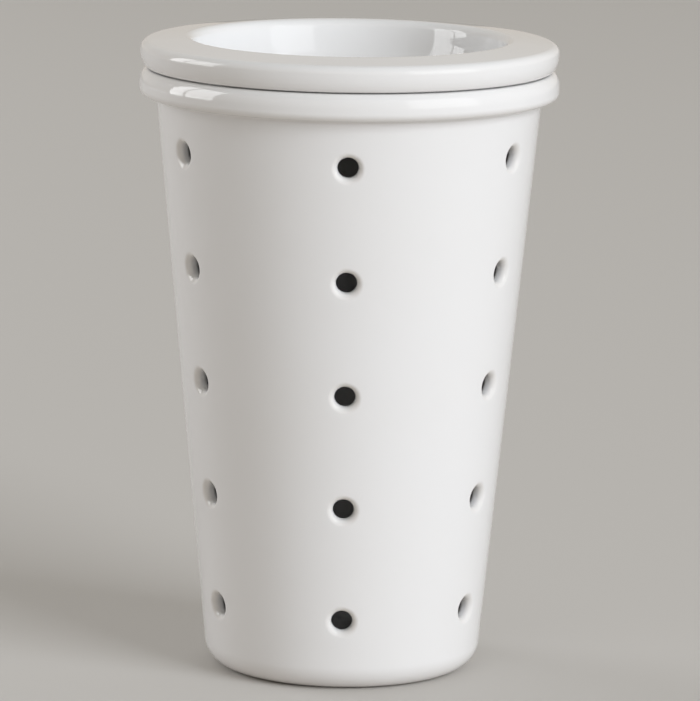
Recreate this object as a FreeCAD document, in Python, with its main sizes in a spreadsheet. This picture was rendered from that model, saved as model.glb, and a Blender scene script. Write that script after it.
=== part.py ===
import FreeCAD, Part
import math
import os

import Sketcher

# Perforated utensil caddy in glazed white stoneware, with a loose dish that lies on its rim.
# +Z is up along the axis of the vessel, the origin is the middle of the face it stands on,
# and one column of holes faces -Y. Lengths are millimetres.

FULL_TURN = 360

# Driving dimensions: alias, plain number, meaning.
DRIVING = [
    ("rim_diameter", "128", "across the rolled rim"),
    ("rim_height", "8.2", "rolled rim, underside to seat"),
    ("rim_upper_round", "2.6", "outer round at the top of the rim"),
    ("rim_lower_round", "2.4", "outer round at the underside of the rim"),
    ("rim_inner_round", "2.2", "round at the mouth"),
    ("rim_cove", "1.6", "hollow round between wall and rim"),
    ("caddy_height", "185", "standing face to the seat of the dish"),
    ("base_diameter", "83.4", "wall run down to the standing face"),
    ("rim_overhang", "5.25", "how far the rim stands out from the wall"),
    ("wall", "4", "thickness of the wall, square to it"),
    ("floor_thickness", "6", "standing face to the floor inside"),
    ("base_round", "8.4", "outer round at the base"),
    ("floor_round", "10", "hollow round at the floor inside"),
    ("foot_width", "5", "flat foot ring, across the ring"),
    ("foot_depth", "1.5", "hollow inside the foot ring"),
    ("hole_diameter", "6.5", "clear width of a hole"),
    ("hole_columns", "6", "columns round the vessel"),
    ("hole_rows", "5", "holes in a column"),
    ("lowest_row", "22.1", "height of the lowest holes"),
    ("top_row_drop", "14.7", "underside of the rim down to the highest holes"),
    ("dish_setback", "0.2", "how far the flange of the dish stays inside the rim"),
    ("dish_edge_height", "8.5", "seat to the top of the flange edge"),
    ("dish_fall", "1.3", "flange top, lip down to the edge"),
    ("dish_lower_round", "3.6", "outer round under the flange"),
    ("dish_upper_round", "3", "outer round on top of the flange"),
    ("dish_lip_round", "2.6", "round from the flange into the bowl"),
    ("dish_wall", "4.6", "thickness of the bowl, at the seat and the floor"),
    ("dish_clearance", "3.8", "bowl to mouth, all round"),
    ("bowl_depth", "24", "lip down to the floor of the bowl"),
    ("bowl_lean", "1.5", "run of the bowl's side, lip to floor"),
    ("bowl_round", "20", "hollow round from side to floor"),
    ("bowl_outer_round", "17", "round under the bowl"),
    ("dish_foot_width", "4", "flat foot ring under the bowl"),
    ("dish_foot_depth", "1.2", "hollow inside that ring"),
    ("overrun", "2", "how far a cut runs past the solid"),
]

# Sizes worked out from them: alias, formula, meaning.
DERIVED = [
    ("rim_radius", "=rim_diameter / 2", "rim, outside"),
    ("base_radius", "=base_diameter / 2", "wall at the standing face"),
    ("shoulder_radius", "=rim_radius - rim_overhang", "wall at the underside of the rim"),
    ("rim_underside", "=caddy_height - rim_height", "height of the rim's underside"),
    ("lean", "=(shoulder_radius - base_radius) / rim_underside", "run of the wall for each unit of rise"),
    ("slant", "=sqrt(1 + lean * lean)", "length of the wall for each unit of rise"),
    ("floor_radius", "=base_radius + lean * floor_thickness - wall * slant", "inside at the floor"),
    ("mouth_radius", "=base_radius + lean * caddy_height - wall * slant", "inside at the seat"),
    ("foot_radius", "=base_radius - base_round * (slant - lean)", "foot ring, outside"),
    ("recess_radius", "=foot_radius - foot_width", "foot ring, inside"),
    ("lean_angle", "=atan(lean)", "lean of the wall, degrees"),
    ("hole_start", "=base_radius + lean * lowest_row + overrun * slant", "start of the first hole's cut"),
    ("hole_length", "=wall + 2 * overrun", "length of the cut for a hole"),
    ("column_length", "=(rim_underside - top_row_drop - lowest_row) * slant", "first hole to last"),
    ("dish_radius", "=rim_radius - dish_setback", "flange, outside"),
    ("collar_radius", "=mouth_radius - dish_clearance", "bowl outside, at the seat"),
    ("edge_top", "=caddy_height + dish_edge_height", "top of the flange edge"),
    ("lip_top", "=edge_top + dish_fall", "top of the lip"),
    ("bowl_floor", "=lip_top - bowl_depth", "floor of the bowl"),
    ("dish_underside", "=bowl_floor - dish_wall", "underside of the bowl"),
    ("bowl_taper", "=bowl_lean / bowl_depth", "run of the bowl's side for each unit of rise"),
    ("bowl_slant", "=sqrt(1 + bowl_taper * bowl_taper)", "length of that side for each unit of rise"),
    ("lip_radius", "=collar_radius - dish_wall + bowl_taper * (lip_top - caddy_height)", "bowl at the lip"),
    ("bowl_floor_radius", "=lip_radius - bowl_lean", "side run down to the bowl's floor"),
    ("underside_radius", "=collar_radius - bowl_taper * (caddy_height - dish_underside)", "bowl's foot"),
    ("dish_foot_radius", "=underside_radius - bowl_outer_round * (bowl_slant - bowl_taper)", "its foot"),
    ("dish_recess_radius", "=dish_foot_radius - dish_foot_width", "foot under the bowl, inside"),
    ("dish_recess_top", "=dish_underside + dish_foot_depth", "hollow inside that foot"),
]


def make_sheet(doc):
    """The sheet of sizes: one row for each alias, with its value and its meaning."""
    sheet = doc.addObject("Spreadsheet::Sheet", "dims")
    for row, (alias, value, meaning) in enumerate(DRIVING + DERIVED, start=1):
        sheet.set(f"A{row}", alias)
        sheet.set(f"B{row}", value)
        sheet.set(f"C{row}", meaning)
        sheet.setAlias(f"B{row}", alias)
    doc.recompute()
    return sheet


def size(sheet, alias):
    """A size of the sheet as a plain number; no alias means zero."""
    return float(sheet.get(alias)) if alias else 0.0


def make_body(doc, label):
    """An empty body whose label names the sub-part."""
    body = doc.addObject("PartDesign::Body", label)
    body.Label = label
    body.Placement = FreeCAD.Placement()
    return body


def datum(body, role):
    """An origin plane or axis of a body."""
    return next(item for item in body.Origin.OriginFeatures if item.Role == role)


def section_sketch(body, name):
    """An empty sketch on the upright XZ plane, with the radius along its first axis."""
    sketch = body.newObject("Sketcher::SketchObject", name)
    sketch.AttachmentSupport = [(datum(body, "XZ_Plane"), "")]
    sketch.MapMode = "FlatFace"
    return sketch


def rounded_corner(before, corner, after, radius):
    """Tangent points and middle point of the arc that rounds a corner."""
    back = (before - corner).normalize()
    ahead = (after - corner).normalize()
    half_turn = back.getAngle(ahead) / 2
    reach = radius / math.tan(half_turn)
    inward = (back + ahead).normalize()
    middle = corner + inward * (radius / math.sin(half_turn) - radius)
    return corner + back * reach, middle, corner + ahead * reach


def draw_section(sketch, sheet, corners):
    """Closed half section through corners given as (radius, height, round) aliases.

    A line joins each corner to the next. A corner with a round gets a tangent arc, and a
    construction point keeps the place where its two sides would meet.
    """
    places = []
    for radius, height, bend in corners:
        places.append(FreeCAD.Vector(size(sheet, radius), size(sheet, height), 0))
    count = len(corners)
    arcs = []
    for index, (radius, height, bend) in enumerate(corners):
        before, after = places[index - 1], places[(index + 1) % count]
        arcs.append(rounded_corner(before, places[index], after, size(sheet, bend)) if bend else None)
    for index in range(count):
        follower = (index + 1) % count
        start = arcs[index][2] if arcs[index] else places[index]
        end = arcs[follower][0] if arcs[follower] else places[follower]
        sketch.addGeometry(Part.LineSegment(start, end), False)
    for index, (radius, height, bend) in enumerate(corners):
        line_before = (index - 1) % count
        if bend:
            arc = sketch.addGeometry(Part.Arc(*arcs[index]), False)
            link_arc(sketch, line_before, arc, index, arcs[index][0])
            bind(sketch, sheet, Sketcher.Constraint("Radius", arc, size(sheet, bend)), bend)
            point = sketch.addGeometry(Part.Point(places[index]), True)
            sketch.addConstraint(Sketcher.Constraint("PointOnObject", point, 1, line_before))
            sketch.addConstraint(Sketcher.Constraint("PointOnObject", point, 1, index))
        else:
            sketch.addConstraint(Sketcher.Constraint("Coincident", line_before, 2, index, 1))
            point = index
        fix(sketch, sheet, "DistanceX", point, radius, -2)
        fix(sketch, sheet, "DistanceY", point, height, -1)


def link_arc(sketch, line_before, arc, line_after, first_point):
    """Joins an arc to the lines on either side of it, tangent at both ends."""
    to_start = sketch.getPoint(arc, 1).distanceToPoint(first_point)
    to_end = sketch.getPoint(arc, 2).distanceToPoint(first_point)
    near, far = (1, 2) if to_start < to_end else (2, 1)
    sketch.addConstraint(Sketcher.Constraint("Tangent", line_before, 2, arc, near))
    sketch.addConstraint(Sketcher.Constraint("Tangent", arc, far, line_after, 1))


def fix(sketch, sheet, kind, point, alias, axis):
    """Ties one coordinate of a corner to the sheet, or the corner to the axis where it is zero."""
    if alias:
        bind(sketch, sheet, Sketcher.Constraint(kind, -1, 1, point, 1, size(sheet, alias)), alias)
    else:
        sketch.addConstraint(Sketcher.Constraint("PointOnObject", point, 1, axis))


def bind(sketch, sheet, constraint, alias):
    """Adds a constraint whose value follows the sheet."""
    place = sketch.addConstraint(constraint)
    sketch.setExpression(f"Constraints[{place}]", f"dims.{alias}")


def turn(doc, body, name, sketch):
    """Solid of revolution of a half section about the upright axis."""
    feature = body.newObject("PartDesign::Revolution", name)
    feature.Profile = sketch
    feature.ReferenceAxis = (sketch, ["V_Axis"])
    feature.Angle = FULL_TURN
    body.Tip = feature
    doc.recompute()


def make_caddy(doc, sheet):
    """Tapered vessel with a rolled rim, a foot ring and columns of round holes."""
    body = make_body(doc, "perforated_caddy")
    sketch = section_sketch(body, "caddy_section")
    draw_section(sketch, sheet, [
        ("", "foot_depth", ""),
        ("recess_radius", "foot_depth", ""),
        ("recess_radius", "", ""),
        ("base_radius", "", "base_round"),
        ("shoulder_radius", "rim_underside", "rim_cove"),
        ("rim_radius", "rim_underside", "rim_lower_round"),
        ("rim_radius", "caddy_height", "rim_upper_round"),
        ("mouth_radius", "caddy_height", "rim_inner_round"),
        ("floor_radius", "floor_thickness", "floor_round"),
        ("", "floor_thickness", ""),
    ])
    turn(doc, body, "caddy_turned", sketch)
    drill_holes(doc, sheet, body)
    return body


def drill_holes(doc, sheet, body):
    """Round holes square to the wall: one hole, repeated up the wall and then round the axis."""
    sketch = section_sketch(body, "hole_section")
    sketch.AttachmentOffset = FreeCAD.Placement(
        FreeCAD.Vector(0, size(sheet, "lowest_row"), size(sheet, "hole_start")),
        FreeCAD.Rotation(FreeCAD.Vector(1, 0, 0), size(sheet, "lean_angle")),
    )
    sketch.setExpression("AttachmentOffset.Base.y", "dims.lowest_row")
    sketch.setExpression("AttachmentOffset.Base.z", "dims.hole_start")
    sketch.setExpression("AttachmentOffset.Rotation.Angle", "dims.lean_angle")
    bore = size(sheet, "hole_diameter")
    sketch.addGeometry(Part.Circle(FreeCAD.Vector(), FreeCAD.Vector(0, 0, 1), bore / 2), False)
    sketch.addConstraint(Sketcher.Constraint("Coincident", 0, 3, -1, 1))
    bind(sketch, sheet, Sketcher.Constraint("Diameter", 0, bore), "hole_diameter")
    uncut = body.Shape.Volume
    hole = body.newObject("PartDesign::Pocket", "first_hole")
    hole.Profile = sketch
    hole.setExpression("Length", "dims.hole_length")
    body.Tip = hole
    doc.recompute()
    one_hole = uncut - body.Shape.Volume
    pattern = body.newObject("PartDesign::MultiTransform", "all_holes")
    column = body.newObject("PartDesign::LinearPattern", "hole_column")
    column.Direction = (sketch, ["V_Axis"])
    column.setExpression("Length", "dims.column_length")
    column.setExpression("Occurrences", "dims.hole_rows")
    ring = body.newObject("PartDesign::PolarPattern", "hole_ring")
    ring.Axis = (datum(body, "Z_Axis"), [""])
    ring.Angle = FULL_TURN
    ring.setExpression("Occurrences", "dims.hole_columns")
    pattern.Originals = [hole]
    pattern.Transformations = [column, ring]
    body.Tip = pattern
    doc.recompute()
    holes = round((uncut - body.Shape.Volume) / one_hole) if one_hole > 0 else 0
    wanted = round(size(sheet, "hole_rows") * size(sheet, "hole_columns"))
    if holes != wanted:
        raise RuntimeError(f"{holes} holes were cut, not {wanted}")


def make_dish(doc, sheet):
    """Loose dish: a bowl that hangs in the mouth from a broad flange lying on the rim."""
    body = make_body(doc, "dish_lid")
    sketch = section_sketch(body, "dish_section")
    draw_section(sketch, sheet, [
        ("", "dish_recess_top", ""),
        ("dish_recess_radius", "dish_recess_top", ""),
        ("dish_recess_radius", "dish_underside", ""),
        ("underside_radius", "dish_underside", "bowl_outer_round"),
        ("collar_radius", "caddy_height", ""),
        ("dish_radius", "caddy_height", "dish_lower_round"),
        ("dish_radius", "edge_top", "dish_upper_round"),
        ("lip_radius", "lip_top", "dish_lip_round"),
        ("bowl_floor_radius", "bowl_floor", "bowl_round"),
        ("", "bowl_floor", ""),
    ])
    turn(doc, body, "dish_turned", sketch)
    return body


def check(doc, bodies):
    """Stops if any object failed to build or any sub-part is not one sound solid."""
    doc.recompute()
    for item in doc.Objects:
        if "Invalid" in item.State or "Error" in item.State:
            raise RuntimeError(f"{item.Label} failed to build")
    for body in bodies:
        if body.Shape.isNull() or not body.Shape.isValid() or len(body.Shape.Solids) != 1:
            raise RuntimeError(f"{body.Label} is not one sound solid")


def main():
    doc = FreeCAD.newDocument("utensil_caddy")
    sheet = make_sheet(doc)
    bodies = [make_caddy(doc, sheet), make_dish(doc, sheet)]
    check(doc, bodies)
    os.makedirs("parts", exist_ok=True)
    for body in bodies:
        body.Shape.exportStep(f"parts/{body.Label}.step")
        print(body.Label, round(body.Shape.Volume), "mm3")


main()
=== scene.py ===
"""White stoneware utensil caddy with a dish lid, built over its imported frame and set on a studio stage."""

import math

import bpy
import numpy as np
from mathutils import Matrix, Vector


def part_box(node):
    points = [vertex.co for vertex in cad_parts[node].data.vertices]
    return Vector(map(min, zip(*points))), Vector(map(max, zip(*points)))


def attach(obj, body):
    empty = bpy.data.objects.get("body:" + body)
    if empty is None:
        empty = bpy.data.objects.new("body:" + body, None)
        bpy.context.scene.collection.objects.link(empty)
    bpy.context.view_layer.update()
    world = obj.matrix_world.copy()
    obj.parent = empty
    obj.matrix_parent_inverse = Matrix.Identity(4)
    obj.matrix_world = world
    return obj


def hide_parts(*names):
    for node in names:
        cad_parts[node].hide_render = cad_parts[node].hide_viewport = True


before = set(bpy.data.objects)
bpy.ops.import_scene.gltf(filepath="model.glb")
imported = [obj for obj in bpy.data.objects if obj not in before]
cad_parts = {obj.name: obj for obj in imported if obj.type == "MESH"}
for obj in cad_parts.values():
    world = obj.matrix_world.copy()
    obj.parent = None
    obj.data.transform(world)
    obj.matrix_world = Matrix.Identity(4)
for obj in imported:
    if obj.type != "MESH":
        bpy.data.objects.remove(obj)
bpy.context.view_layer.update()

bl_info = {
    "name": "Perforated Utensil Caddy",
    "version": (1, 0, 0),
    "blender": (4, 5, 0),
    "location": "3D View > Sidebar > Caddy",
    "description": "Builds a glazed stoneware utensil caddy, its dish lid and a studio stage",
    "category": "Add Mesh",
}

# Box of the frame before any piece is built, and the high corner of each piece's own box, in metres
CADDY_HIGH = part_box("perforated_caddy")[1]
DISH_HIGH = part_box("dish_lid")[1]

# Points in one cell of this size become one point, and the shift keeps round lengths off the cells' borders
MERGE_DISTANCE = 1e-6
CELL_SHIFT = 0.37

# Step along an arc, pieces of an ellipse, longest straight step of a section, and steps round the dish
ARC_STEP = math.radians(4)
ELLIPSE_STEPS = 24
RUN_STEP = 0.0025
DISH_TURN_STEPS = 216

# Points along the border of one hole's patch of wall, and its rings, from the outside to the inside
BORDER_ACROSS = 24
BORDER_UP = 16
OUTER_RINGS = 9
LIP_RINGS = 11
TUNNEL_RINGS = 2
INNER_LIP_RINGS = 3
INNER_RINGS = 3

# Angle of the front column of holes, and how far the patches stay clear of the rounds below and above them
FRONT = -math.pi / 2
WALL_MARGIN = 0.0008

# Reach over which a bend is measured for the thin glaze, and depth of a foot ring that stays unglazed
SHARP_REACH = 0.0012
FLAT_FOOT = 0.0002

# Noises of the glaze on Object coordinates
CLOUD_NOISE = {"Scale": 24.0, "Detail": 3.0, "Roughness": 0.55}
WAVE_NOISE = {"Scale": 70.0, "Detail": 1.0, "Roughness": 0.4}
PEEL_NOISE = {"Scale": 420.0, "Detail": 1.0, "Roughness": 0.4}
GRAIN_NOISE = {"Scale": 2600.0, "Detail": 2.0, "Roughness": 0.6}

# How far the cloud thins the glaze, how far cloud and clay dull it, and the share of the peel in its height
THINNING_GAIN = 0.5
THINNING_START = -0.12
CLOUD_DULLING = 0.04
CLAY_DULLING = 0.7
PEEL_SHARE = 0.06

# Refraction of the glaze, and the shift of its pattern on each piece
GLAZE_IOR = 1.52
CADDY_SHIFT = (0.0, 0.0, 0.0)
DISH_SHIFT = (0.31, 0.17, 0.23)

# Sockets of the Mix node when it blends colours
MIX_FACTOR = 0
MIX_FIRST = 6
MIX_SECOND = 7
MIX_RESULT = 2

# Floor disc and its finish
FLOOR_RADIUS = 8.0
FLOOR_RINGS = 9
FLOOR_STEPS = 96
FLOOR_ROUGHNESS = 0.8
FLOOR_SPECULAR = 0.2

# Soft lamps round the point AIM: bearing from the front towards the right and rise, both in degrees
AIM = (0.0, 0.0, 0.11)
KEY_LAMP = {
    "bearing": 47.0, "rise": 21.0, "distance": 6.0,
    "size": (3.33, 4.0), "colour": (0.90, 0.94, 1.0),
}
WASH_LAMP = {
    "bearing": -120.0, "rise": 12.0, "distance": 3.0,
    "size": (1.33, 1.5), "colour": (0.92, 0.945, 1.0),
}

# Panes: distance from the axis, lowest and highest level, and the two sides of each along the pane
PANE_DISTANCE = 0.28
PANE_LEVELS = (0.165, 0.37)
PANE_COLOUR = (0.97, 0.98, 1.0)
PANEL_BEARING = 52.0
PANEL_SIDES = (-0.115, 0.075)
WINDOW_BEARING = -90.0
WINDOW_SIDES = ((-0.070, -0.011), (-0.003, 0.095))

# Sine of the rise where the backdrop begins to give way to the room overhead, and where it has done so
OVERHEAD_START = 0.5
OVERHEAD_END = 0.85

# Height of the photograph in pixels, and of the camera's sensor in millimetres
PHOTO_HEIGHT = 701
SENSOR_HEIGHT = 36.0


class CaddySizes(bpy.types.PropertyGroup):
    """Sizes of the perforated vessel, in metres."""

    rim_radius: bpy.props.FloatProperty(
        name="Rim Radius", description="Axis to the outside of the rolled rim",
        default=CADDY_HIGH.x, unit="LENGTH", precision=5)
    height: bpy.props.FloatProperty(
        name="Height", description="Standing face to the seat of the dish",
        default=CADDY_HIGH.z, unit="LENGTH", precision=5)
    rim_height: bpy.props.FloatProperty(
        name="Rim Height", description="Underside of the rim to the seat",
        default=0.0082, unit="LENGTH", precision=5)
    rim_upper_round: bpy.props.FloatProperty(
        name="Rim Upper Round", description="How far the outer round at the top of the rim reaches inwards",
        default=0.0026, unit="LENGTH", precision=5)
    rim_upper_drop: bpy.props.FloatProperty(
        name="Rim Upper Drop", description="How far that round reaches down the rim",
        default=0.0044, unit="LENGTH", precision=5)
    rim_lower_round: bpy.props.FloatProperty(
        name="Rim Lower Round", description="Outer round at the underside of the rim",
        default=0.0024, unit="LENGTH", precision=5)
    rim_cove: bpy.props.FloatProperty(
        name="Rim Cove", description="Hollow round between the wall and the rim",
        default=0.0016, unit="LENGTH", precision=5)
    mouth_round: bpy.props.FloatProperty(
        name="Mouth Round", description="Round from the seat into the mouth",
        default=0.0022, unit="LENGTH", precision=5)
    shoulder_radius: bpy.props.FloatProperty(
        name="Shoulder Radius", description="Axis to the wall at the underside of the rim",
        default=0.05875, unit="LENGTH", precision=5)
    base_radius: bpy.props.FloatProperty(
        name="Base Radius", description="Axis to the wall where it would meet the standing face",
        default=0.0417, unit="LENGTH", precision=5)
    wall: bpy.props.FloatProperty(
        name="Wall", description="Thickness of the wall, square to it",
        default=0.004, unit="LENGTH", precision=5)
    base_round: bpy.props.FloatProperty(
        name="Base Round", description="Outer round at the base",
        default=0.0084, unit="LENGTH", precision=5)
    floor_thickness: bpy.props.FloatProperty(
        name="Floor Thickness", description="Standing face to the floor inside",
        default=0.006, unit="LENGTH", precision=5)
    floor_round: bpy.props.FloatProperty(
        name="Floor Round", description="Hollow round at the floor inside",
        default=0.010, unit="LENGTH", precision=5)
    foot_width: bpy.props.FloatProperty(
        name="Foot Width", description="Flat foot ring, across the ring",
        default=0.005, unit="LENGTH", precision=5)
    foot_depth: bpy.props.FloatProperty(
        name="Foot Depth", description="Hollow inside the foot ring",
        default=0.0015, unit="LENGTH", precision=5)
    foot_round: bpy.props.FloatProperty(
        name="Foot Round", description="Rounds at the inner edge of the foot ring",
        default=0.0006, unit="LENGTH", precision=5)
    hole_radius: bpy.props.FloatProperty(
        name="Hole Radius", description="Clear radius of a hole at its narrowest",
        default=0.00315, unit="LENGTH", precision=5)
    lip_width: bpy.props.FloatProperty(
        name="Lip Width", description="How far the round of a hole reaches over the wall",
        default=0.0020, unit="LENGTH", precision=5)
    lip_depth: bpy.props.FloatProperty(
        name="Lip Depth", description="How far that round reaches into the hole",
        default=0.0022, unit="LENGTH", precision=5)
    inner_lip: bpy.props.FloatProperty(
        name="Inner Lip", description="Round where a hole meets the inside of the wall",
        default=0.0009, unit="LENGTH", precision=5)
    hole_columns: bpy.props.IntProperty(
        name="Hole Columns", description="Columns of holes round the vessel", default=6, min=3, max=12)
    hole_rows: bpy.props.IntProperty(
        name="Hole Rows", description="Holes in a column", default=5, min=2, max=8)
    lowest_row: bpy.props.FloatProperty(
        name="Lowest Row", description="Height of the lowest holes",
        default=0.0221, unit="LENGTH", precision=5)
    row_pitch: bpy.props.FloatProperty(
        name="Row Pitch", description="Height from one row of holes to the next",
        default=0.035, unit="LENGTH", precision=5)


class DishSizes(bpy.types.PropertyGroup):
    """Sizes of the dish lid, in metres."""

    flange_radius: bpy.props.FloatProperty(
        name="Flange Radius", description="Axis to the outside of the flange",
        default=DISH_HIGH.x, unit="LENGTH", precision=5)
    edge_height: bpy.props.FloatProperty(
        name="Edge Height", description="Seat to the top of the flange edge",
        default=0.0082, unit="LENGTH", precision=5)
    fall: bpy.props.FloatProperty(
        name="Flange Fall", description="How far the top of the flange falls from the lip to the edge",
        default=0.0016, unit="LENGTH", precision=5)
    lower_round: bpy.props.FloatProperty(
        name="Lower Round", description="How far the outer round under the flange reaches inwards",
        default=0.0024, unit="LENGTH", precision=5)
    lower_rise: bpy.props.FloatProperty(
        name="Lower Rise", description="How far that round reaches up the edge",
        default=0.0056, unit="LENGTH", precision=5)
    seat_gap: bpy.props.FloatProperty(
        name="Seat Gap", description="How far the flange stands off the rim near its edge",
        default=0.0004, unit="LENGTH", precision=5)
    gap_reach: bpy.props.FloatProperty(
        name="Gap Reach", description="How far that gap reaches in from the outside of the flange",
        default=0.0046, unit="LENGTH", precision=5)
    upper_round: bpy.props.FloatProperty(
        name="Upper Round", description="How far the outer round on top of the flange reaches inwards",
        default=0.0024, unit="LENGTH", precision=5)
    upper_drop: bpy.props.FloatProperty(
        name="Upper Drop", description="How far that round reaches down the edge",
        default=0.0022, unit="LENGTH", precision=5)
    lip_round: bpy.props.FloatProperty(
        name="Lip Round", description="Round from the flange into the bowl",
        default=0.0026, unit="LENGTH", precision=5)
    wall: bpy.props.FloatProperty(
        name="Wall", description="Thickness of the bowl at the seat and at the floor",
        default=0.0046, unit="LENGTH", precision=5)
    clearance: bpy.props.FloatProperty(
        name="Clearance", description="Bowl to the mouth of the vessel, all round",
        default=0.0043, unit="LENGTH", precision=5)
    cove: bpy.props.FloatProperty(
        name="Cove", description="Hollow round between the bowl and the flange, underneath",
        default=0.001, unit="LENGTH", precision=5)
    bowl_depth: bpy.props.FloatProperty(
        name="Bowl Depth", description="Lip down to the floor of the bowl",
        default=0.024, unit="LENGTH", precision=5)
    bowl_lean: bpy.props.FloatProperty(
        name="Bowl Lean", description="Run of the side of the bowl from the lip to the floor",
        default=0.0027, unit="LENGTH", precision=5)
    bowl_round: bpy.props.FloatProperty(
        name="Bowl Round", description="Hollow round from the side of the bowl to its floor",
        default=0.020, unit="LENGTH", precision=5)
    outer_round: bpy.props.FloatProperty(
        name="Outer Round", description="Round under the bowl",
        default=0.017, unit="LENGTH", precision=5)
    foot_width: bpy.props.FloatProperty(
        name="Foot Width", description="Flat foot ring under the bowl, across the ring",
        default=0.004, unit="LENGTH", precision=5)
    foot_depth: bpy.props.FloatProperty(
        name="Foot Depth", description="Hollow inside that ring",
        default=0.0012, unit="LENGTH", precision=5)
    foot_round: bpy.props.FloatProperty(
        name="Foot Round", description="Rounds at the inner edge of that ring",
        default=0.0005, unit="LENGTH", precision=5)


class GlazeLook(bpy.types.PropertyGroup):
    """Colours and gloss of the glaze."""

    glaze: bpy.props.FloatVectorProperty(
        name="Glaze", description="White glaze where it lies thick",
        default=(0.79, 0.79, 0.79), subtype="COLOR", size=3, min=0, max=1)
    thin_glaze: bpy.props.FloatVectorProperty(
        name="Thin Glaze", description="Glaze where it ran thin over an edge",
        default=(0.77, 0.76, 0.745), subtype="COLOR", size=3, min=0, max=1)
    bare_clay: bpy.props.FloatVectorProperty(
        name="Bare Clay", description="Unglazed clay of the foot rings",
        default=(0.60, 0.55, 0.47), subtype="COLOR", size=3, min=0, max=1)
    gloss_roughness: bpy.props.FloatProperty(
        name="Glaze Roughness", description="Roughness of the fired glaze",
        default=0.03, subtype="FACTOR", min=0, max=1)
    wave_height: bpy.props.FloatProperty(
        name="Wave Height", description="Height of the slow waves in the glaze",
        default=0.00002, unit="LENGTH", precision=6)


class StageLook(bpy.types.PropertyGroup):
    """Floor, lamps and camera of the stage."""

    floor: bpy.props.FloatVectorProperty(
        name="Floor", description="Plain pale floor, as the camera and the glaze see it",
        default=(0.60, 0.58, 0.55), subtype="COLOR", size=3, min=0, max=1)
    floor_bounce: bpy.props.FloatVectorProperty(
        name="Floor Bounce", description="Tone of the floor in the light that it throws back",
        default=(0.60, 0.55, 0.50), subtype="COLOR", size=3, min=0, max=1)
    backdrop: bpy.props.FloatVectorProperty(
        name="Backdrop", description="Pale room near the horizon, as the camera and the glaze see it",
        default=(0.59, 0.54, 0.48), subtype="COLOR", size=3, min=0, max=1)
    overhead: bpy.props.FloatVectorProperty(
        name="Overhead", description="Room overhead, as the camera and the glaze see it",
        default=(0.16, 0.16, 0.16), subtype="COLOR", size=3, min=0, max=1)
    ambient: bpy.props.FloatVectorProperty(
        name="Ambient", description="Even light of the room",
        default=(0.452, 0.436, 0.408), subtype="COLOR", size=3, min=0, max=1)
    key_power: bpy.props.FloatProperty(
        name="Key Power", description="Soft lamp at the right", default=310.0, unit="POWER")
    wash_power: bpy.props.FloatProperty(
        name="Wash Power", description="Soft lamp behind the left side", default=37.8, unit="POWER")
    panel_radiance: bpy.props.FloatProperty(
        name="Panel Brightness", description="Broad panel at the right that the glaze mirrors",
        default=1.4, min=0)
    window_radiance: bpy.props.FloatProperty(
        name="Window Brightness", description="Window panes at the left that the glaze mirrors",
        default=4.4, min=0)
    focal_pixels: bpy.props.FloatProperty(
        name="Focal Length", description="Focal length in pixels of the photograph", default=5500.0)
    camera_place: bpy.props.FloatVectorProperty(
        name="Camera Place", description="Where the camera stands",
        default=(0.00134, -1.66403, 0.39182), subtype="TRANSLATION", unit="LENGTH", size=3)
    camera_pitch: bpy.props.FloatProperty(
        name="Camera Pitch", description="How far the camera looks down",
        default=0.1749, subtype="ANGLE", unit="ROTATION")
    camera_roll: bpy.props.FloatProperty(
        name="Camera Roll", description="How far the camera leans to the left",
        default=0.0145, subtype="ANGLE", unit="ROTATION")


def unit(vector):
    """The vector divided by its own length."""
    return vector / np.linalg.norm(vector)


def straight_run(start, end):
    """Points between two ends, both left out, at even steps no longer than RUN_STEP."""
    pieces = max(1, math.ceil(np.linalg.norm(end - start) / RUN_STEP))
    shares = np.linspace(0, 1, pieces + 1)[1:-1, None]
    return start + shares * (end - start)


def bend_arc(before, corner, after, bend):
    """The arc that rounds a corner: its centre lies on the corner's bisector, bend / sin(half angle) away.

    The arc touches both sides at bend / tan(half angle) from the corner. A bend of two reaches gives a
    quarter of an ellipse, corner + back reach (1 - sin t) + ahead reach (1 - cos t).
    """
    back, ahead = unit(before - corner), unit(after - corner)
    if isinstance(bend, tuple):
        quarter = np.linspace(0, math.pi / 2, ELLIPSE_STEPS + 1)[:, None]
        return corner + back * bend[0] * (1 - np.sin(quarter)) + ahead * bend[1] * (1 - np.cos(quarter))
    half = np.arccos(np.clip(back @ ahead, -1, 1)) / 2
    centre = corner + unit(back + ahead) * bend / math.sin(half)
    first = corner + back * bend / math.tan(half) - centre
    last = corner + ahead * bend / math.tan(half) - centre
    sweep = math.atan2(first[0] * last[1] - first[1] * last[0], first @ last)
    steps = max(2, math.ceil(abs(sweep) / ARC_STEP))
    angles = math.atan2(first[1], first[0]) + np.linspace(0, sweep, steps + 1)
    return centre + bend * np.stack([np.cos(angles), np.sin(angles)], axis=1)


def rounded_profile(corners):
    """Open section through corners (radius, height, bend): straight runs joined by tangent arcs."""
    places = np.array([corner[:2] for corner in corners], float)
    stretches = [places[:1]]
    for index in range(1, len(corners) - 1):
        arc = bend_arc(places[index - 1], places[index], places[index + 1], corners[index][2])
        stretches += [straight_run(stretches[-1][-1], arc[0]), arc]
    stretches += [straight_run(stretches[-1][-1], places[-1]), places[-1:]]
    return np.concatenate(stretches)


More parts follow.
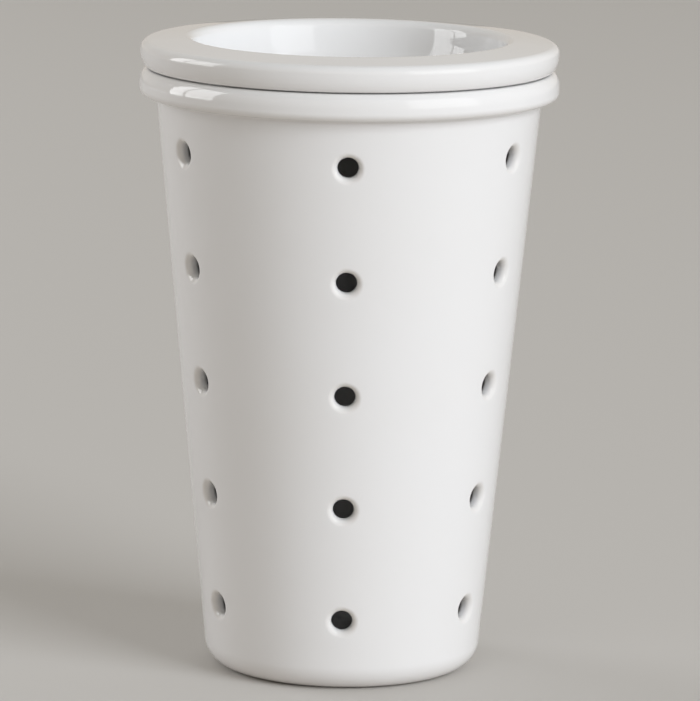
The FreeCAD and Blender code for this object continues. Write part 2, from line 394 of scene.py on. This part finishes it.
def sharpness(profile, reach):
    """How sharply a section bends outwards at each point, from 0 on a flat or hollow stretch to 1.

    The bend is the turn of the section over a stretch of the given reach to each side, as a share of a
    right angle, and only turns towards the solid count.
    """
    lengths = np.concatenate([[0], np.cumsum(np.linalg.norm(np.diff(profile, axis=0), axis=1))])

    def at(distance):
        """Points of the section at distances along it."""
        distance = np.clip(distance, 0, lengths[-1])
        return np.stack([np.interp(distance, lengths, profile[:, axis]) for axis in range(2)], axis=1)

    behind = at(lengths) - at(lengths - reach)
    ahead = at(lengths + reach) - at(lengths)
    turn = np.arctan2(behind[:, 0] * ahead[:, 1] - behind[:, 1] * ahead[:, 0], (behind * ahead).sum(axis=1))
    return np.clip(turn / (math.pi / 2), 0, 1)


def turned_grid(profile, steps):
    """Section turned about the upright axis: (radius cos a, radius sin a, height) for each angle a."""
    angles = np.arange(steps) * (2 * math.pi / steps)
    radius, height = profile[:, 0, None], profile[:, 1, None]
    return np.stack(np.broadcast_arrays(radius * np.cos(angles), radius * np.sin(angles), height), axis=2)


def grid_quads(rows, columns):
    """Corner numbers of the quads of a grid that closes along its columns, anticlockwise from outside."""
    row, column = np.meshgrid(np.arange(rows - 1) * columns, np.arange(columns), indexing="ij")
    after = (column + 1) % columns
    corners = [row + column, row + after, row + columns + after, row + columns + column]
    return np.stack(corners, axis=2).reshape(-1, 4)


class Shell:
    """Grids of points gathered into one skin, with a mask for thin glaze and one for bare clay."""

    def __init__(self):
        self.points, self.quads, self.thin, self.bare = [], [], [], []
        self.total = 0

    def add(self, grid, thin=0.0, bare=0.0):
        """Adds a grid of rows that close on themselves; a mask is one value or one for each row."""
        rows, columns = grid.shape[:2]
        self.points.append(grid.reshape(-1, 3))
        self.quads.append(grid_quads(rows, columns) + self.total)
        for masks, mask in ((self.thin, thin), (self.bare, bare)):
            masks.append(np.repeat(np.broadcast_to(np.asarray(mask, float), rows), columns))
        self.total += rows * columns

    def merged(self):
        """Points with those of one cell made one, the quads over them, and which points were kept."""
        points, quads = np.concatenate(self.points), np.concatenate(self.quads)
        cells = np.floor(points / MERGE_DISTANCE + CELL_SHIFT)
        first, place = np.unique(cells, axis=0, return_index=True, return_inverse=True)[1:]
        return points[first], place.reshape(-1)[quads], first

    def build(self, name, material):
        """Makes the object: quads at a pole become triangles, and those shrunk to a line are left out."""
        points, quads, first = self.merged()
        kept = quads != np.roll(quads, -1, axis=1)
        sides = kept.sum(axis=1)
        kept &= (sides >= 3)[:, None]
        sides = sides[sides >= 3]
        mesh = bpy.data.meshes.new(name)
        mesh.vertices.add(len(points))
        mesh.vertices.foreach_set("co", points.astype(np.float32).ravel())
        mesh.loops.add(int(sides.sum()))
        mesh.loops.foreach_set("vertex_index", quads[kept].astype(np.int32))
        mesh.polygons.add(len(sides))
        mesh.polygons.foreach_set("loop_start", (np.cumsum(sides) - sides).astype(np.int32))
        mesh.polygons.foreach_set("use_smooth", np.ones(len(sides), bool))
        for mask_name, masks in (("thin_glaze", self.thin), ("bare_clay", self.bare)):
            layer = mesh.attributes.new(mask_name, "FLOAT", "POINT")
            layer.data.foreach_set("value", np.concatenate(masks)[first].astype(np.float32))
        mesh.update(calc_edges=True)
        if mesh.validate():
            raise RuntimeError(f"{name} has faces that are not sound")
        mesh.materials.append(material)
        piece = bpy.data.objects.new(name, mesh)
        bpy.context.scene.collection.objects.link(piece)
        return piece


class Taper:
    """The tapered wall of the vessel: its lean, its radius at a height, and the depth of the cone."""

    def __init__(self, sizes):
        rise = sizes.height - sizes.rim_height
        self.lean = (sizes.shoulder_radius - sizes.base_radius) / rise
        self.angle = math.atan(self.lean)
        self.base = sizes.base_radius
        self.wall = sizes.wall

    def radius(self, height, depth=0.0):
        """Radius of the wall at a height, at a depth below the outer face measured square to it."""
        return self.base + self.lean * height - depth / math.cos(self.angle)

    def outside(self, height):
        """Radius and height of a point on the outer face."""
        return (self.radius(height), height)

    def inside(self, height):
        """Radius and height of a point on the inner face."""
        return (self.radius(height, self.wall), height)

    def depth_below(self, across, along, height, depth):
        """How far the cone lies under the plane that touches it at a height.

        Seen square to the wall, across and along are the distances to the touching point. With A the
        radius where the plane still touches and k = cos(2 lean angle), a point on the cone lies
        cos(angle) * (A - sqrt(A^2 - k across^2)) / k under the plane.
        """
        touch = self.radius(height) - depth * math.cos(self.angle) + along * math.sin(self.angle)
        k = math.cos(2 * self.angle)
        return math.cos(self.angle) * (touch - np.sqrt(touch ** 2 - k * across ** 2)) / k

    def place(self, across, along, inward, height):
        """Points given by distances across, along and under the touching plane, in the frame at angle 0."""
        sine, cosine = math.sin(self.angle), math.cos(self.angle)
        outward = self.radius(height) + along * sine - inward * cosine
        return np.stack([outward, across, height + along * cosine + inward * sine], axis=-1)


def patch_border(taper, height, low, high, half_turn, depth):
    """Border of one hole's patch, anticlockwise, as distances across and along the touching plane.

    The border runs along the circle at the low height, up the line at +half_turn, back along the circle at
    the high height and down the line at -half_turn.
    """
    turns = np.linspace(-half_turn, half_turn, BORDER_ACROSS + 1)[:-1]
    climbs = np.linspace(low, high, BORDER_UP + 1)[:-1]
    angle = np.concatenate([turns, np.full(BORDER_UP, half_turn), -turns, np.full(BORDER_UP, -half_turn)])
    level = np.concatenate([np.full(BORDER_ACROSS, low), climbs,
                            np.full(BORDER_ACROSS, high), low + high - climbs])
    radius = taper.radius(level, depth)
    sine, cosine = math.sin(taper.angle), math.cos(taper.angle)
    across = radius * np.sin(angle)
    along = (radius * np.cos(angle) - taper.radius(height)) * sine + (level - height) * cosine
    return across, along


def wall_rings(taper, height, border, rim_reach, depth, rings):
    """Rings on one face of the wall, from the patch's border to the circle where a lip begins.

    Each ring is a straight blend, in the touching plane, between the border and the circle of that radius
    on the same rays, dropped onto the cone.
    """
    across, along = border
    ray = np.arctan2(along, across)
    share = np.linspace(0, 1, rings + 1)[:, None]
    across = across + share * (rim_reach * np.cos(ray) - across)
    along = along + share * (rim_reach * np.sin(ray) - along)
    inward = depth + taper.depth_below(across, along, height, depth)
    return taper.place(across, along, inward, height)


def lip_rings(taper, height, ray, reach, sunk, depth):
    """Rings of the given radii round a hole, each sunk by its own amount below one face of the wall."""
    across, along = reach[:, None] * np.cos(ray), reach[:, None] * np.sin(ray)
    inward = depth + taper.depth_below(across, along, height, depth) + sunk[:, None]
    return taper.place(across, along, inward, height)


def quarter_round(hole, reach, drop, rings):
    """Turn, radius and depth of the rings of a quarter ellipse from a face of the wall into a hole.

    At turn t the radius is hole + reach (1 - sin t) and the depth is drop (1 - cos t).
    """
    turn = np.linspace(0, math.pi / 2, rings + 1)[1:]
    return turn, hole + reach * (1 - np.sin(turn)), drop * (1 - np.cos(turn))


def hole_patch(taper, sizes, height, outer_span, inner_span, half_turn):
    """One hole with its share of the wall: outer face, soft lip, tunnel, inner lip and inner face.

    Returns the rings as one grid that closes along its columns, and the thin-glaze mask of each ring, which
    is sin(2 t) at turn t of the lip and nothing elsewhere.
    """
    border = patch_border(taper, height, *outer_span, half_turn, 0.0)
    inner_border = patch_border(taper, height, *inner_span, half_turn, sizes.wall)
    ray = np.arctan2(border[1], border[0])
    inner_ray = np.arctan2(inner_border[1], inner_border[0])
    hole, wall = sizes.hole_radius, sizes.wall
    outer = wall_rings(taper, height, border, hole + sizes.lip_width, 0.0, OUTER_RINGS)
    turn, reach, sunk = quarter_round(hole, sizes.lip_width, sizes.lip_depth, LIP_RINGS)
    lip = lip_rings(taper, height, ray, reach, sunk, 0.0)
    inner_reach, inner_sunk = quarter_round(hole, sizes.inner_lip, sizes.inner_lip, INNER_LIP_RINGS)[1:]
    inner_lip = lip_rings(taper, height, inner_ray, inner_reach, -inner_sunk, wall)[::-1]
    inner = wall_rings(taper, height, inner_border, hole + sizes.inner_lip, wall, INNER_RINGS)[::-1]
    share = np.linspace(0, 1, TUNNEL_RINGS + 1)[1:-1, None, None]
    tunnel = lip[-1] + share * (inner_lip[0] - lip[-1])
    rings = np.concatenate([outer, lip, tunnel, inner_lip, inner])
    thin = np.zeros(len(rings))
    thin[len(outer):len(outer) + len(lip)] = np.sin(2 * turn)
    return rings, thin


def turn_about_axis(points, angle):
    """Points turned about the upright axis: (x cos a - y sin a, x sin a + y cos a, z)."""
    sine, cosine = math.sin(angle), math.cos(angle)
    return points @ np.array([[cosine, sine, 0], [-sine, cosine, 0], [0, 0, 1]])


def base_section(sizes, taper, top):
    """Section of the base: from the axis over the hollow of the foot, round the base and up to a height."""
    slant = 1 / math.cos(taper.angle)
    foot_radius = sizes.base_radius - sizes.base_round * (slant - taper.lean)
    recess_radius = foot_radius - sizes.foot_width
    return rounded_profile([
        (0, sizes.foot_depth),
        (recess_radius, sizes.foot_depth, sizes.foot_round),
        (recess_radius, 0, sizes.foot_round),
        (sizes.base_radius, 0, sizes.base_round),
        taper.outside(top),
    ])


def rim_section(sizes, taper, low):
    """Section of the rim: from a height outside, over the rolled rim and down the mouth to that height."""
    underside = sizes.height - sizes.rim_height
    return rounded_profile([
        taper.outside(low),
        (sizes.shoulder_radius, underside, sizes.rim_cove),
        (sizes.rim_radius, underside, sizes.rim_lower_round),
        (sizes.rim_radius, sizes.height, (sizes.rim_upper_drop, sizes.rim_upper_round)),
        (*taper.inside(sizes.height), sizes.mouth_round),
        taper.inside(low),
    ])


def floor_section(sizes, taper, top):
    """Section of the inside: from a height on the wall down to the floor and in to the axis."""
    return rounded_profile([
        taper.inside(top),
        (*taper.inside(sizes.floor_thickness), sizes.floor_round),
        (0, sizes.floor_thickness),
    ])


def vessel_shell(sizes):
    """The whole skin of the vessel: a turned base, rim and floor, joined by a patch of wall for each hole.

    The turned sections have as many steps round as the patches have along their borders, so that they meet.
    """
    taper = Taper(sizes)
    round_share = 1 - math.sin(taper.angle)
    outer_low = sizes.base_round * round_share + WALL_MARGIN
    inner_low = sizes.floor_thickness + sizes.floor_round * round_share + WALL_MARGIN
    top = sizes.height - sizes.rim_height - sizes.rim_cove - WALL_MARGIN
    base = base_section(sizes, taper, outer_low)
    rim = rim_section(sizes, taper, top)
    floor = floor_section(sizes, taper, inner_low)
    steps = BORDER_ACROSS * sizes.hole_columns
    shell = Shell()
    shell.add(turned_grid(base, steps), bare=base[:, 1] < FLAT_FOOT)
    shell.add(turned_grid(rim, steps), thin=sharpness(rim, SHARP_REACH))
    shell.add(turned_grid(floor, steps))
    heights = sizes.lowest_row + sizes.row_pitch * np.arange(sizes.hole_rows)
    middles = (heights[1:] + heights[:-1]) / 2
    outer_levels = np.concatenate([[outer_low], middles, [top]])
    inner_levels = np.concatenate([[inner_low], middles, [top]])
    half_turn = math.pi / sizes.hole_columns
    for row, height in enumerate(heights):
        outer_span, inner_span = outer_levels[row:row + 2], inner_levels[row:row + 2]
        patch, thin = hole_patch(taper, sizes, height, outer_span, inner_span, half_turn)
        for column in range(sizes.hole_columns):
            shell.add(turn_about_axis(patch, FRONT + 2 * half_turn * column), thin=thin)
    return shell


def dish_shell(sizes, seat, mouth_radius):
    """The whole skin of the dish: one section turned about the axis, from under the bowl to its floor.

    Near its edge the flange stands off the seat by a small step, with bends of a third of its height.
    """
    top = seat + sizes.edge_height + sizes.fall
    floor = top - sizes.bowl_depth
    under = floor - sizes.wall
    lean = sizes.bowl_lean / sizes.bowl_depth
    slant = math.hypot(1, lean)
    collar = mouth_radius - sizes.clearance
    lip = collar - sizes.wall + lean * (top - seat)
    under_radius = collar - lean * (seat - under)
    recess_radius = under_radius - sizes.outer_round * (slant - lean) - sizes.foot_width
    gap_start = sizes.flange_radius - sizes.gap_reach
    gap_bend = sizes.seat_gap / 3
    section = rounded_profile([
        (0, under + sizes.foot_depth),
        (recess_radius, under + sizes.foot_depth, sizes.foot_round),
        (recess_radius, under, sizes.foot_round),
        (under_radius, under, sizes.outer_round),
        (collar, seat, sizes.cove),
        (gap_start, seat, gap_bend),
        (gap_start, seat + sizes.seat_gap, gap_bend),
        (sizes.flange_radius, seat + sizes.seat_gap, (sizes.lower_round, sizes.lower_rise)),
        (sizes.flange_radius, top - sizes.fall, (sizes.upper_drop, sizes.upper_round)),
        (lip, top, sizes.lip_round),
        (lip - sizes.bowl_lean, floor, sizes.bowl_round),
        (0, floor),
    ])
    shell = Shell()
    bare = section[:, 1] < under + FLAT_FOOT
    shell.add(turned_grid(section, DISH_TURN_STEPS), thin=sharpness(section, SHARP_REACH), bare=bare)
    return shell


def link(tree, source, target):
    """Joins two sockets, each given as (node, name or number of the socket)."""
    tree.links.new(source[0].outputs[source[1]], target[0].inputs[target[1]])


def add_node(tree, kind, settings=None, inputs=None):
    """A node with its settings and the values of its unlinked inputs."""
    node = tree.nodes.new(kind)
    for key, value in (settings or {}).items():
        setattr(node, key, value)
    for key, value in (inputs or {}).items():
        node.inputs[key].default_value = value
    return node


def calculate(tree, operation, *terms, clamp=False):
    """The result of a maths node as a socket pair; each term is a socket pair or a plain number."""
    node = add_node(tree, "ShaderNodeMath", {"operation": operation, "use_clamp": clamp})
    for number, term in enumerate(terms):
        if isinstance(term, tuple):
            link(tree, term, (node, number))
        else:
            node.inputs[number].default_value = term
    return (node, "Value")


def mix_colour(tree, factor, first, second):
    """The blend of two colours as a socket pair.

    The factor is a socket pair, and each of the two colours is a socket pair or a plain colour.
    """
    node = add_node(tree, "ShaderNodeMix", {"data_type": "RGBA"})
    link(tree, factor, (node, MIX_FACTOR))
    for number, colour in ((MIX_FIRST, first), (MIX_SECOND, second)):
        if isinstance(colour[0], bpy.types.Node):
            link(tree, colour, (node, number))
        else:
            node.inputs[number].default_value = colour
    return (node, MIX_RESULT)


def glaze_group():
    """Node group of the fired glaze: its colour, roughness and height over the surface.

    Slow cloudy noise moves the tone a little, the thin-glaze mask shows the body through over edges, the
    bare-clay mask lays open the foot rings, and two scales of noise give the height of the glaze.
    """
    group = bpy.data.node_groups.new("fired_glaze", "ShaderNodeTree")
    face = group.interface
    for name, kind in (("Position", "NodeSocketVector"), ("Glaze", "NodeSocketColor"),
                       ("Thin Glaze", "NodeSocketColor"), ("Bare Clay", "NodeSocketColor"),
                       ("Thin Mask", "NodeSocketFloat"), ("Bare Mask", "NodeSocketFloat"),
                       ("Gloss Roughness", "NodeSocketFloat")):
        face.new_socket(name, in_out="INPUT", socket_type=kind)
    for name, kind in (("Colour", "NodeSocketColor"), ("Roughness", "NodeSocketFloat"),
                       ("Height", "NodeSocketFloat")):
        face.new_socket(name, in_out="OUTPUT", socket_type=kind)
    given = group.nodes.new("NodeGroupInput")
    result = group.nodes.new("NodeGroupOutput")

    def noise(values):
        """The strength of one noise as a socket pair."""
        node = add_node(group, "ShaderNodeTexNoise", inputs=values)
        link(group, (given, "Position"), (node, "Vector"))
        return (node, "Fac")

    cloud = noise(CLOUD_NOISE)
    bare = (given, "Bare Mask")
    thinning = calculate(group, "MULTIPLY_ADD", cloud, THINNING_GAIN, THINNING_START, clamp=True)
    thin = calculate(group, "ADD", thinning, (given, "Thin Mask"), clamp=True)
    glaze = mix_colour(group, thin, (given, "Glaze"), (given, "Thin Glaze"))
    link(group, mix_colour(group, bare, glaze, (given, "Bare Clay")), (result, "Colour"))
    gloss = calculate(group, "MULTIPLY_ADD", cloud, CLOUD_DULLING, (given, "Gloss Roughness"))
    dull = calculate(group, "MULTIPLY_ADD", bare, CLAY_DULLING, gloss, clamp=True)
    link(group, dull, (result, "Roughness"))
    ripple = calculate(group, "MULTIPLY_ADD", noise(PEEL_NOISE), PEEL_SHARE, noise(WAVE_NOISE))
    tooth = calculate(group, "MULTIPLY", noise(GRAIN_NOISE), bare)
    link(group, calculate(group, "ADD", ripple, tooth), (result, "Height"))
    return group


def glaze_material(name, look, shift):
    """Glazed stoneware: the fired_glaze group, moved by its own shift, feeds one glossy shader."""
    material = bpy.data.materials.new(name)
    material.use_nodes = True
    tree = material.node_tree
    shader = tree.nodes["Principled BSDF"]
    shader.inputs["IOR"].default_value = GLAZE_IOR
    fired_glaze = bpy.data.node_groups.get("fired_glaze") or glaze_group()
    group = add_node(tree, "ShaderNodeGroup", {"node_tree": fired_glaze})
    group.inputs["Glaze"].default_value = (*look.glaze, 1)
    group.inputs["Thin Glaze"].default_value = (*look.thin_glaze, 1)
    group.inputs["Bare Clay"].default_value = (*look.bare_clay, 1)
    group.inputs["Gloss Roughness"].default_value = look.gloss_roughness
    place = add_node(tree, "ShaderNodeTexCoord")
    moved = add_node(tree, "ShaderNodeMapping", inputs={"Location": shift})
    link(tree, (place, "Object"), (moved, "Vector"))
    link(tree, (moved, "Vector"), (group, "Position"))
    for socket, mask in (("Thin Mask", "thin_glaze"), ("Bare Mask", "bare_clay")):
        layer = add_node(tree, "ShaderNodeAttribute", {"attribute_name": mask})
        link(tree, (layer, "Fac"), (group, socket))
    bump = add_node(tree, "ShaderNodeBump", inputs={"Strength": 1.0, "Distance": look.wave_height})
    link(tree, (group, "Height"), (bump, "Height"))
    link(tree, (bump, "Normal"), (shader, "Normal"))
    link(tree, (group, "Colour"), (shader, "Base Color"))
    link(tree, (group, "Roughness"), (shader, "Roughness"))
    return material


class CADDY_OT_vessel(bpy.types.Operator):
    """Builds the perforated vessel over its frame"""

    bl_idname = "caddy.build_vessel"
    bl_label = "Build Vessel"

    def execute(self, context):
        """Turns the sections, sets the holes into the wall and glazes the vessel."""
        scene = context.scene
        material = glaze_material("caddy_glaze", scene.glaze_look, CADDY_SHIFT)
        piece = vessel_shell(scene.caddy_sizes).build("caddy_vessel", material)
        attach(piece, "caddy")
        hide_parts("perforated_caddy")
        return {"FINISHED"}


class CADDY_OT_dish(bpy.types.Operator):
    """Builds the dish lid over its frame"""

    bl_idname = "caddy.build_dish"
    bl_label = "Build Dish"

    def execute(self, context):
        """Turns the section of the dish to suit the vessel's mouth and glazes it."""
        scene = context.scene
        sizes = scene.caddy_sizes
        mouth_radius = Taper(sizes).radius(sizes.height, sizes.wall)
        material = glaze_material("dish_glaze", scene.glaze_look, DISH_SHIFT)
        piece = dish_shell(scene.dish_sizes, sizes.height, mouth_radius).build("dish", material)
        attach(piece, "lid")
        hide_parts("dish_lid")
        return {"FINISHED"}


def seen_share(tree):
    """A value that is 1 for what the camera or a reflection sees directly, and 0 for light that bounces."""
    path = add_node(tree, "ShaderNodeLightPath")
    mirrored = calculate(tree, "ADD", (path, "Is Glossy Ray"), (path, "Is Transmission Ray"), clamp=True)
    return calculate(tree, "ADD", (path, "Is Camera Ray"), mirrored, clamp=True)


def floor_material(look):
    """Matt floor: one tone where it is seen, and its own warmer tone in the light that it throws back."""
    material = bpy.data.materials.new("pale_floor")
    material.use_nodes = True
    tree = material.node_tree
    shader = tree.nodes["Principled BSDF"]
    shader.inputs["Roughness"].default_value = FLOOR_ROUGHNESS
    shader.inputs["Specular IOR Level"].default_value = FLOOR_SPECULAR
    tone = mix_colour(tree, seen_share(tree), (*look.floor_bounce, 1), (*look.floor, 1))
    link(tree, tone, (shader, "Base Color"))
    return material


def make_floor(look):
    """Flat disc under the object: (r cos a, r sin a, 0) for rings of radius r that widen outwards."""
    rings = FLOOR_RADIUS * np.linspace(1, 0, FLOOR_RINGS) ** 2
    shell = Shell()
    shell.add(turned_grid(np.stack([rings, np.zeros(FLOOR_RINGS)], axis=1), FLOOR_STEPS))
    shell.build("floor", floor_material(look))


def level_direction(bearing):
    """Level direction at a bearing in degrees, from the front towards the right."""
    turn = math.radians(bearing)
    return Vector((math.sin(turn), -math.cos(turn), 0))


def make_lamp(name, place, facing, size, power, colour):
    """Rectangular area lamp at a place, facing along a direction."""
    data = bpy.data.lights.new(name, "AREA")
    data.shape = "RECTANGLE"
    data.size, data.size_y = size
    data.energy = power
    data.color = colour
    lamp = bpy.data.objects.new(name, data)
    lamp.location = place
    lamp.rotation_euler = facing.to_track_quat("-Z", "Y").to_euler()
    bpy.context.scene.collection.objects.link(lamp)
    return lamp


def make_soft_lamp(name, power, bearing, rise, distance, size, colour):
    """Lamp that looks at AIM from a bearing and a rise, and that the glaze doesn't mirror."""
    climb = math.radians(rise)
    offset = distance * (math.cos(climb) * level_direction(bearing) + Vector((0, 0, math.sin(climb))))
    lamp = make_lamp(name, Vector(AIM) + offset, -offset, size, power, colour)
    lamp.visible_glossy = False


def make_pane(name, bearing, sides, radiance):
    """Upright pane that lights nothing matt and that the glaze mirrors.

    It stands square to its bearing, PANE_DISTANCE from the axis, from one side to the other as measured
    along it towards larger bearings, and between PANE_LEVELS. Its power is pi times radiance times area.
    """
    outward = level_direction(bearing)
    along = Vector((-outward.y, outward.x, 0))
    low, high = PANE_LEVELS
    size = (sides[1] - sides[0], high - low)
    middle = PANE_DISTANCE * outward + sum(sides) / 2 * along + Vector((0, 0, (low + high) / 2))
    pane = make_lamp(name, middle, -outward, size, math.pi * radiance * size[0] * size[1], PANE_COLOUR)
    pane.visible_diffuse = False


def make_room_light(look):
    """World of an even light, in which the camera and the glaze see a pale backdrop under a darker room."""
    world = bpy.data.worlds.new("studio_room")
    world.use_nodes = True
    tree = world.node_tree
    place = add_node(tree, "ShaderNodeTexCoord")
    split = add_node(tree, "ShaderNodeSeparateXYZ")
    climb = add_node(tree, "ShaderNodeMapRange", {"interpolation_type": "SMOOTHSTEP"},
                     {"From Min": OVERHEAD_START, "From Max": OVERHEAD_END})
    link(tree, (place, "Generated"), (split, "Vector"))
    link(tree, (split, "Z"), (climb, "Value"))
    seen = mix_colour(tree, (climb, "Result"), (*look.backdrop, 1), (*look.overhead, 1))
    tone = mix_colour(tree, seen_share(tree), (*look.ambient, 1), seen)
    link(tree, tone, (tree.nodes["Background"], "Color"))
    bpy.context.scene.world = world


def make_camera(look):
    """Camera where the photograph was taken, pitched down and leaning a little to the left."""
    data = bpy.data.cameras.new("photograph_view")
    data.sensor_fit = "VERTICAL"
    data.sensor_height = SENSOR_HEIGHT
    data.lens = SENSOR_HEIGHT * look.focal_pixels / PHOTO_HEIGHT
    camera = bpy.data.objects.new("photograph_view", data)
    pitch = Matrix.Rotation(math.pi / 2 - look.camera_pitch, 4, "X")
    roll = Matrix.Rotation(look.camera_roll, 4, "Z")
    camera.matrix_world = Matrix.Translation(look.camera_place) @ pitch @ roll
    bpy.context.scene.collection.objects.link(camera)
    bpy.context.scene.camera = camera


class CADDY_OT_stage(bpy.types.Operator):
    """Sets the floor, the lamps, the room light and the camera"""

    bl_idname = "caddy.build_stage"
    bl_label = "Build Stage"

    def execute(self, context):
        """Makes each part of the stage from the values of StageLook."""
        look = context.scene.stage_look
        make_floor(look)
        make_room_light(look)
        make_soft_lamp("key_lamp", look.key_power, **KEY_LAMP)
        make_soft_lamp("wash_lamp", look.wash_power, **WASH_LAMP)
        make_pane("panel", PANEL_BEARING, PANEL_SIDES, look.panel_radiance)
        for number, sides in enumerate(WINDOW_SIDES):
            make_pane(f"window_{number}", WINDOW_BEARING, sides, look.window_radiance)
        make_camera(look)
        context.scene.view_settings.view_transform = "Standard"
        return {"FINISHED"}


SECTIONS = (
    (CADDY_OT_vessel, ("caddy_sizes", "glaze_look")),
    (CADDY_OT_dish, ("dish_sizes",)),
    (CADDY_OT_stage, ("stage_look",)),
)


class CADDY_PT_sidebar(bpy.types.Panel):
    """Lists the pieces of the caddy and the values that a user may change"""

    bl_label = "Utensil Caddy"
    bl_idname = "CADDY_PT_sidebar"
    bl_space_type = "VIEW_3D"
    bl_region_type = "UI"
    bl_category = "Caddy"

    def draw(self, context):
        """One box for each operator, with the values that it reads."""
        for operator, holders in SECTIONS:
            column = self.layout.box().column()
            column.operator(operator.bl_idname)
            for holder in holders:
                group = getattr(context.scene, holder)
                for name in group.__annotations__:
                    column.prop(group, name)


HOLDERS = (
    ("caddy_sizes", CaddySizes),
    ("dish_sizes", DishSizes),
    ("glaze_look", GlazeLook),
    ("stage_look", StageLook),
)
CLASSES = (CADDY_OT_vessel, CADDY_OT_dish, CADDY_OT_stage, CADDY_PT_sidebar)


def register():
    """Registers the groups of values, hangs each on the scene and registers the operators and the panel."""
    for holder, group in HOLDERS:
        bpy.utils.register_class(group)
        setattr(bpy.types.Scene, holder, bpy.props.PointerProperty(type=group))
    for item in CLASSES:
        bpy.utils.register_class(item)


def unregister():
    """Takes back what register did, in the opposite order."""
    for item in reversed(CLASSES):
        bpy.utils.unregister_class(item)
    for holder, group in reversed(HOLDERS):
        delattr(bpy.types.Scene, holder)
        bpy.utils.unregister_class(group)


def main():
    """Builds both pieces and the stage."""
    register()
    bpy.ops.caddy.build_vessel()
    bpy.ops.caddy.build_dish()
    bpy.ops.caddy.build_stage()
    bpy.context.view_layer.update()


if __name__ == "__main__":
    main()
